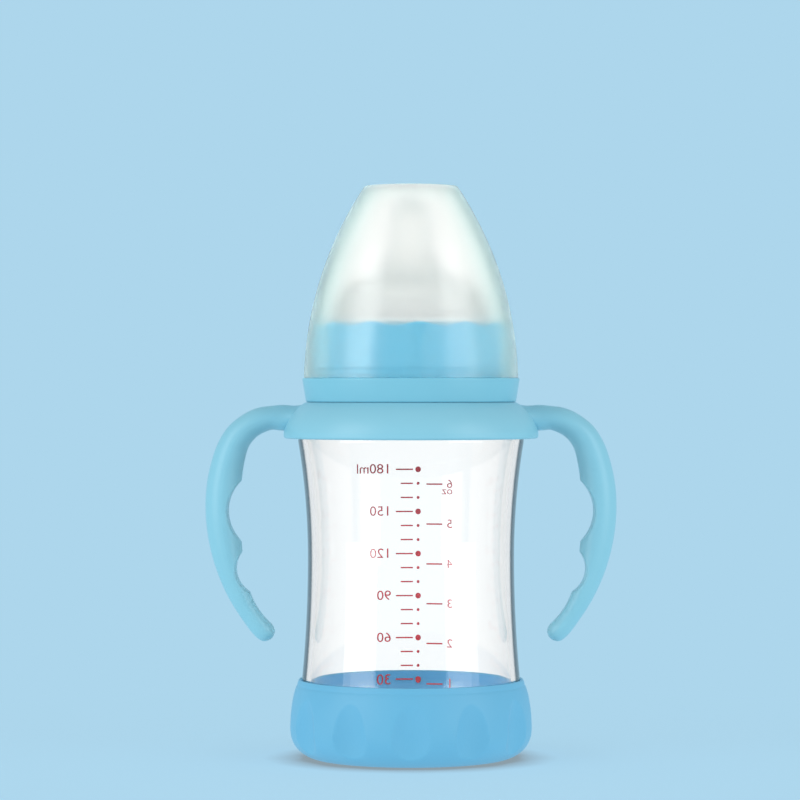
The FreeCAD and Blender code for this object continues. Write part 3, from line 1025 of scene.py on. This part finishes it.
@dataclass
class BaseCover(SubAssembly):
    """The soft cup round the foot: a barrel with upright flutes and a grooved rim."""

    inside: Wall = Wall(0.2, 18.2, 2.4)
    floor_z: float = 2.6
    swell: float = 34.66
    rim_z: float = 22.5
    foot_round: float = 8.8
    barrel: float = 35.0
    rim_round: float = 0.35
    groove_drop: float = 1.6
    groove_half: float = 0.55
    groove_depth: float = 0.14
    flutes: int = 12
    flute_round: float = 10.0
    flute_depth: float = 2.0
    flute_lean: float = 0.085
    flute_blend: float = 0.12
    underside: float = 17.0
    underside_depth: float = 0.6
    wall_run: float = 0.5
    segments: int = 360

    def outline(self) -> Outline:
        """Draw the cup from the middle of its underside, up the outside and down the inside.

        Returns:
            The cup's outline, whose inside follows the heel of the glass.
        """
        inside = self.inside
        round_z = self.rim_z - self.rim_round
        middle = self.swell - self.barrel
        foot = self.swell - self.foot_round
        rim_outer = beside(middle, self.barrel, round_z - self.foot_round)
        rim_inner = inside.radius(round_z)
        drawn = Outline((0.0, self.underside_depth))
        drawn.line((self.underside - self.underside_depth, self.underside_depth))
        drawn.line((self.underside, 0.0)).line((foot, 0.0))
        drawn.arc((foot, self.foot_round), (self.swell, self.foot_round), self.wall_run)
        plain = len(drawn.points)
        drawn.arc((middle, self.foot_round), (rim_outer, round_z), self.wall_run / 2)
        for index in range(plain, len(drawn.points)):
            radius, height = drawn.points[index]
            off = abs(height - self.rim_z + self.groove_drop) / self.groove_half
            drawn.points[index] = (radius - self.groove_depth * smooth_step(1 - off), height)
        outer_top = (rim_outer - self.rim_round, self.rim_z)
        inner_top = (rim_inner + self.rim_round, self.rim_z)
        drawn.arc((outer_top[0], round_z), outer_top).line(inner_top)
        drawn.arc((inner_top[0], round_z), (rim_inner, round_z)).turn_inside()
        seat = beside(inside.heel[0], inside.heel_radius, inside.heel[1] - self.floor_z)
        return drawn.arc(inside.heel, (seat, self.floor_z)).line((0.0, self.floor_z))

    def fluted(self, angle: float, radius: float, height: float) -> Point:
        """Press the flutes in. They lean outward as they rise, and one of them faces the front.

        Args:
            angle: The angle round the axis.
            radius: The plain radius.
            height: The height.

        Returns:
            The radius and height with the flutes.
        """
        step = math.tau / self.flutes
        off = math.remainder(angle - FRONT, step)
        out = self.flute_lean * (height - self.foot_round)
        centre = self.swell + self.flute_round - self.flute_depth + out
        flute = pressed(centre, self.flute_round, off)
        return soft_least(radius, flute, self.flute_blend), height

    def build(self) -> None:
        """Build the cup in place of its solid."""
        cup = turned("base_cup", self.outline(), self.segments, self.fluted)
        self.wear(cup, COVER_SILICONE.material())
        # The inside takes the copy of the silicone with painted light.
        cup.data.materials.append(COVER_INSIDE_PAINTED_LIGHT.material())
        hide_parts("base_cover")


@dataclass
class HandleRing(SubAssembly):
    """The ring with its two handles, which keeps its solid's shape."""

    def build(self) -> None:
        """Dress the solid."""
        self.wear(frame["nodes"]["handle_ring"], RING_PLASTIC.material())


@dataclass
class Teat(SubAssembly):
    """The hollow teat: flange, groove, bead, mound, flare and nipple, with its milk hole."""

    flange_z: float = 119.95
    flange: float = 25.1
    flange_thick: float = 2.0
    flange_round: float = 0.4
    groove: float = 21.0
    throat: float = 19.2
    bead_z: float = 124.05
    bead: float = 22.3
    bead_height: float = 1.3
    bead_round: float = 0.6
    mound: float = 13.0
    flare: float = 11.0
    nipple: float = 5.9
    nipple_root_z: float = 147.1
    tip_z: float = 158.6
    thick: float = 1.8
    milk_hole: float = 0.5
    mound_run: float = 0.8
    tip_run: float = 0.5
    segments: int = 160

    def outline(self) -> Outline:
        """Draw the rubber from the foot of the throat, up the outside and down the inside.

        Returns:
            The teat's outline, which closes on itself.
        """
        flare = (self.nipple + self.flare, self.nipple_root_z)
        foot = (self.bead, self.bead_z + self.bead_height)
        way = Vector(flare) - Vector(foot)
        gap = way.length
        along = (gap ** 2 + self.mound ** 2 - (self.mound + self.flare) ** 2) / (2 * gap)
        across = math.sqrt(self.mound ** 2 - along ** 2)
        way.normalize()
        mound = tuple(Vector(foot) + way * along + Vector((-way.y, way.x)) * across)
        flange_top = self.flange_z + self.flange_thick
        drawn = Outline((self.throat, self.flange_z))
        drawn.corner((self.flange, self.flange_z), (self.flange, flange_top), self.flange_round)
        drawn.corner((self.flange, flange_top), (self.groove, flange_top), self.flange_round)
        drawn.line((self.groove, flange_top)).line((self.groove, self.bead_z))
        drawn.corner((foot[0], self.bead_z), foot, self.bead_round).line(foot)
        drawn.arc(mound, toward(mound, flare, self.mound), self.mound_run)
        drawn.arc(flare, (self.nipple, self.nipple_root_z), self.mound_run)
        ball = (0.0, self.tip_z - self.nipple)
        bore = self.nipple - self.thick
        hole_top = ball[1] + beside(0, self.nipple, self.milk_hole)
        hole_foot = ball[1] + beside(0, bore, self.milk_hole)
        drawn.line((self.nipple, ball[1])).arc(ball, (self.milk_hole, hole_top), self.tip_run)
        drawn.line((self.milk_hole, hole_foot)).arc(ball, (bore, ball[1]), self.tip_run)
        drawn.line((bore, self.nipple_root_z))
        hollow = self.mound - self.thick
        throat_top = mound[1] + beside(0, hollow, self.throat - mound[0])
        drawn.arc(flare, toward(mound, flare, hollow), self.mound_run)
        return drawn.arc(mound, (self.throat, throat_top), self.mound_run)

    def build(self) -> None:
        """Build the teat in place of its solid."""
        rubber = turned("teat_rubber", self.outline(), self.segments)
        self.wear(rubber, TeatSilicone().material())
        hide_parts("teat")


@dataclass
class ScrewCollar(SubAssembly):
    """The collar: a band, a ledge for the cap, a scalloped drum with a wavy rim, and its ridge."""

    bore: float = 25.5
    foot_z: float = 101.35
    foot: float = 29.9
    foot_round: float = 0.6
    band: float = 31.0
    band_round: float = 0.4
    ledge_z: float = 108.2
    ledge: float = 28.5
    ledge_round: float = 0.3
    top: float = 27.4
    top_z: float = 124.0
    top_round: float = 1.1
    mouth: float = 21.3
    mouth_round: float = 0.6
    plate_z: float = 122.0
    scallops: int = 12
    scallop_round: float = 60.0
    scallop_depth: float = 0.7
    scallop_turn: float = -10.0
    rim_dip: float = 1.2
    rim_from_z: float = 120.0
    drum_run: float = 0.8
    segments: int = 240
    sunk: float = 0.2
    thread: Thread = Thread(107.1, turns=1.4)
    turn_steps: int = 72

    def outline(self) -> Outline:
        """Draw the collar from the foot of its bore, up the outside and down the inside.

        Returns:
            The collar's outline, which closes on itself.
        """
        edge, root = (self.band, self.ledge_z), (self.ledge, self.ledge_z)
        shoulder, mouth = (self.top, self.top_z), (self.mouth, self.top_z)
        drawn = Outline((self.bore, self.foot_z))
        drawn.corner((self.foot, self.foot_z), edge, self.foot_round)
        drawn.corner(edge, root, self.band_round).corner(root, shoulder, self.ledge_round)
        drawn.line(toward(shoulder, root, self.top_round), self.drum_run)
        drawn.corner(shoulder, mouth, self.top_round)
        drawn.corner(mouth, (self.mouth, self.plate_z), self.mouth_round)
        return drawn.line((self.mouth, self.plate_z)).line((self.bore, self.plate_z))

    def scalloped(self, angle: float, radius: float, height: float) -> Point:
        """Press the scallops into the drum and lower its rim there. The inside stays plain.

        Args:
            angle: The angle round the axis.
            radius: The plain radius.
            height: The plain height.

        Returns:
            The radius and height with the scallops.
        """
        if height <= self.ledge_z or radius <= self.bore:
            return radius, height
        step = math.tau / self.scallops
        off = math.remainder(angle - FRONT - math.radians(self.scallop_turn), step)
        centre = self.top + self.scallop_round - self.scallop_depth
        share = smooth_step((height - self.rim_from_z) / (self.top_z - self.rim_from_z))
        dip = self.rim_dip * share * (0.5 + 0.5 * math.cos(off * self.scallops))
        return min(radius, pressed(centre, self.scallop_round, off)), height - dip

    def ridge(self) -> bpy.types.Object:
        """Build the ridge as a bar that runs round the bore and fades at its ends.

        Returns:
            The ridge.
        """
        work = bmesh.new()
        last = None
        thread = self.thread
        steps = math.ceil(thread.turns * self.turn_steps)
        wall = self.bore + self.sunk
        for index in range(steps + 1):
            way = thread.turns * index / steps
            angle = math.tau * way
            middle = thread.height(way)
            inner = self.bore - thread.depth * thread.share(way)
            section = ((wall, -thread.root / 2), (inner, -thread.crest / 2),
                       (inner, thread.crest / 2), (wall, thread.root / 2))
            ring = [work.verts.new((reach * math.cos(angle) * MM, reach * math.sin(angle) * MM,
                                    (middle + rise) * MM))
                    for reach, rise in section]
            if last is None:
                work.faces.new(ring)
            else:
                for here in range(len(ring)):
                    after = (here + 1) % len(ring)
                    work.faces.new((last[here], last[after], ring[after], ring[here]))
            last = ring
        work.faces.new(last)
        return finished("collar_screw_ridge", work)

    def build(self) -> None:
        """Build the collar in place of its solid, and add its ridge."""
        plastic = COLLAR_PLASTIC.material()
        shell = turned("collar_shell", self.outline(), self.segments, self.scalloped)
        collar = self.wear(shell, plastic)
        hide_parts("screw_collar")
        self.wear(self.ridge(), plastic)


@dataclass
class DomeCap(SubAssembly):
    """The domed cap, which keeps its solid's shape."""

    def build(self) -> None:
        """Dress the solid."""
        self.wear(frame["nodes"]["dome_cap"], FrostedPolypropylene().material())


@dataclass(frozen=True)
class Studio:
    """Pale blue floor and ground, a white tent, two tall soft lights and the camera.

    Sizes are in metres and angles in degrees from the front.
    """

    ground: str = "#ADD6EC"
    fill: str = "#FFFFFF"
    fill_strength: float = 0.52
    floor_radius: float = 4.0
    floor_steps: int = 96
    floor_paint: tuple[float, float, float] = (0.20, 0.25, 0.28)
    floor_light: float = 0.70
    floor_fade: Point = (0.05, 0.22)
    # Colour of the painted contact shadow, mixed in under the cover where ambient occlusion finds
    # it near.
    contact: str = "#8C9EA8"
    contact_reach: float = 0.014
    contact_from: float = 0.25
    contact_to: float = 0.85
    lift: str = "#DDEEF7"
    lift_strength: float = 1.05
    light_angle: float = 57.0
    light_distance: float = 0.7
    light_width: float = 0.455
    light_height: float = 0.9
    light_z: float = 0.25
    light_radiance: float = 2.2
    light_bias: float = 0.09
    tent_radius: float = 0.2
    tent_foot: float = 0.001
    tent_height: float = 0.5
    tent_low: float = 1.13
    tent_high: float = 1.06
    tent_fade: Point = (0.095, 0.115)
    tent_open: float = 66.0
    tent_steps: int = 48
    camera_place: tuple[float, float, float] = (0.0, -0.9804, 0.1062)
    camera_lens: float = 154.8
    camera_sensor: float = 36.0
    camera_shift: Point = (-0.01375, -0.01875)

    def shown(self, tree: bpy.types.NodeTree) -> bpy.types.NodeSocket:
        """Tell what is seen from what gives light.

        Args:
            tree: The node tree of the floor or the world.

        Returns:
            1 where it is seen by the eye, in a gloss or through glass, and 0 elsewhere.
        """
        path = add_node(tree, "ShaderNodeLightPath")
        direct = add_node(tree, "ShaderNodeMath", {"operation": "ADD", "use_clamp": True}, {
            0: path.outputs["Is Camera Ray"], 1: path.outputs["Is Glossy Ray"]})
        seen = add_node(tree, "ShaderNodeMath", {"operation": "ADD", "use_clamp": True}, {
            0: direct.outputs[0], 1: path.outputs["Is Transmission Ray"]})
        return seen.outputs[0]

    def world(self) -> None:
        """Show the ground's colour wherever it is seen, and fill the shade with white."""
        world = bpy.data.worlds.new("studio")
        world.use_nodes = True
        tree = world.node_tree
        tree.nodes.clear()
        fill = add_node(tree, "ShaderNodeBackground", inputs={
            "Color": linear(self.fill), "Strength": self.fill_strength})
        ground = add_node(tree, "ShaderNodeBackground", inputs={
            "Color": linear(self.ground), "Strength": 1.0})
        both = add_node(tree, "ShaderNodeMixShader", inputs={
            0: self.shown(tree), 1: fill.outputs[0], 2: ground.outputs[0]})
        add_node(tree, "ShaderNodeOutputWorld", inputs={"Surface": both.outputs[0]})
        bpy.context.scene.world = world

    def floor(self) -> None:
        """Lay a floor that takes the bottle's shadow and fades into the ground's colour.

        It carries a painted contact shadow close under the cover, and it throws white light up.
        """
        work = bmesh.new()
        bmesh.ops.create_circle(work, cap_ends=True, segments=self.floor_steps,
                                radius=self.floor_radius)
        floor = finished("floor", work)
        material, tree = empty_material("painted_board_pale_blue")
        place = add_node(tree, "ShaderNodeTexCoord")
        away = add_node(tree, "ShaderNodeVectorMath", {"operation": "LENGTH"}, {
            0: place.outputs["Object"]})
        near = add_node(tree, "ShaderNodeMapRange", SMOOTH, {
            "Value": away.outputs["Value"], "From Min": self.floor_fade[0],
            "From Max": self.floor_fade[1], "To Min": 1.0, "To Max": 0.0})
        ground = linear(self.ground)[:3]
        full = tuple(share * part / self.floor_light
                     for share, part in zip(ground, self.floor_paint))
        tone = add_node(tree, "ShaderNodeVectorMath", {"operation": "SCALE"}, {
            0: full, "Scale": near.outputs["Result"]})
        rest = add_node(tree, "ShaderNodeVectorMath", {"operation": "MULTIPLY_ADD"}, {
            0: tone.outputs["Vector"], 1: (-self.floor_light,) * 3, 2: ground})
        # Painted contact shadow: where ambient occlusion finds the cover near, the board turns to a
        # flat grey-blue emission.
        open_to = add_node(tree, "ShaderNodeAmbientOcclusion", inputs={
            "Distance": self.contact_reach})
        clear = add_node(tree, "ShaderNodeMapRange", inputs={
            "Value": open_to.outputs["AO"],
            "From Min": self.contact_from, "From Max": self.contact_to})
        glow = add_node(tree, "ShaderNodeEmission", inputs={
            "Color": rest.outputs["Vector"], "Strength": 1.0})
        paint = add_node(tree, "ShaderNodeBsdfDiffuse", inputs={"Color": tone.outputs["Vector"]})
        lit = add_node(tree, "ShaderNodeAddShader", inputs={
            0: glow.outputs[0], 1: paint.outputs[0]})
        painted_shadow = add_node(tree, "ShaderNodeEmission", inputs={
            "Color": linear(self.contact), "Strength": 1.0})
        board = add_node(tree, "ShaderNodeMixShader", inputs={
            0: clear.outputs["Result"], 1: painted_shadow.outputs[0], 2: lit.outputs[0]})
        upward = add_node(tree, "ShaderNodeEmission", inputs={
            "Color": linear(self.lift), "Strength": self.lift_strength})
        both = add_node(tree, "ShaderNodeMixShader", inputs={
            0: self.shown(tree), 1: upward.outputs[0], 2: board.outputs[0]})
        add_node(tree, "ShaderNodeOutputMaterial", inputs={"Surface": both.outputs[0]})
        material.cycles.emission_sampling = "NONE"
        floor.data.materials.append(material)

    def tent(self) -> None:
        """Stand a white tent, open at the front, that shows only through glass and frosted plastic.

        It is a little brighter behind the glass than behind the cap.
        """
        work = bmesh.new()
        rings = []
        for height in (self.tent_foot, self.tent_height):
            ring = [work.verts.new((0, 0, height))]
            for index in range(self.tent_steps + 1):
                way = (360 - 2 * self.tent_open) * index / self.tent_steps
                turn = math.radians(self.tent_open + way)
                ring.append(work.verts.new((self.tent_radius * math.sin(turn),
                                            -self.tent_radius * math.cos(turn), height)))
            rings.append(ring)
        low, high = rings
        for index in range(1, self.tent_steps + 1):
            work.faces.new((low[index], low[index + 1], high[index + 1], high[index]))
            for ring in rings:
                work.faces.new((ring[0], ring[index], ring[index + 1]))
        tent = finished("tent", work)
        material, tree = empty_material("tent_cloth_white")
        place = add_node(tree, "ShaderNodeTexCoord")
        parts = add_node(tree, "ShaderNodeSeparateXYZ", inputs={0: place.outputs["Object"]})
        level = add_node(tree, "ShaderNodeMapRange", inputs={
            "Value": parts.outputs["Z"], "From Min": self.tent_fade[0],
            "From Max": self.tent_fade[1], "To Min": self.tent_low, "To Max": self.tent_high})
        glow = add_node(tree, "ShaderNodeEmission", inputs={
            "Color": linear(self.fill), "Strength": level.outputs["Result"]})
        add_node(tree, "ShaderNodeOutputMaterial", inputs={"Surface": glow.outputs[0]})
        material.cycles.emission_sampling = "NONE"
        tent.data.materials.append(material)
        for kind in ("camera", "diffuse", "glossy", "shadow", "volume_scatter"):
            setattr(tent, f"visible_{kind}", False)

    def light(self, side: Side) -> None:
        """Stand a tall soft light out of sight. The left one is a little stronger.

        Args:
            side: The side of the camera that it stands on.
        """
        data = bpy.data.lights.new(f"strip_{side.name.lower()}", "AREA")
        data.shape = "RECTANGLE"
        data.size = self.light_width
        data.size_y = self.light_height
        radiance = self.light_radiance * (1 - self.light_bias * side.value)
        data.energy = radiance * math.pi * self.light_width * self.light_height
        lamp = placed(data.name, data)
        angle = math.radians(self.light_angle) * side.value
        lamp.location = (self.light_distance * math.sin(angle),
                         -self.light_distance * math.cos(angle), self.light_z)
        lamp.rotation_euler = (LEVEL, 0, angle)
        lamp.visible_camera = False

    def camera(self) -> None:
        """Set the camera where the photograph was taken from."""
        data = bpy.data.cameras.new("camera")
        data.lens = self.camera_lens
        data.sensor_width = self.camera_sensor
        data.shift_x, data.shift_y = self.camera_shift
        camera = placed("camera", data)
        camera.location = self.camera_place
        camera.rotation_euler = (LEVEL, 0, 0)
        bpy.context.scene.camera = camera

    def build(self) -> None:
        """Set the whole studio up."""
        bpy.context.scene.view_settings.view_transform = "Standard"
        self.camera()
        self.world()
        self.floor()
        self.tent()
        for side in Side:
            self.light(side)


def write_sizes() -> None:
    """Update the view layer. No sizes are written."""
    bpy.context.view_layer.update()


def main() -> None:
    """Build the studio and every sub-assembly, and bring the scene up to date."""
    logging.basicConfig(level=logging.INFO, format="%(name)s: %(message)s")
    Studio().build()
    for part in (
        GlassBottle("bottle", Slot.GLASS),
        PrintedScale("bottle", Slot.GLASS),
        BaseCover("base", Slot.COVER),
        HandleRing("handles", Slot.RING),
        Teat("nipple", Slot.TEAT),
        ScrewCollar("collar", Slot.COLLAR),
        DomeCap("cap", Slot.CAP),
    ):
        part.build()
    write_sizes()


if __name__ == "__main__":
    main()
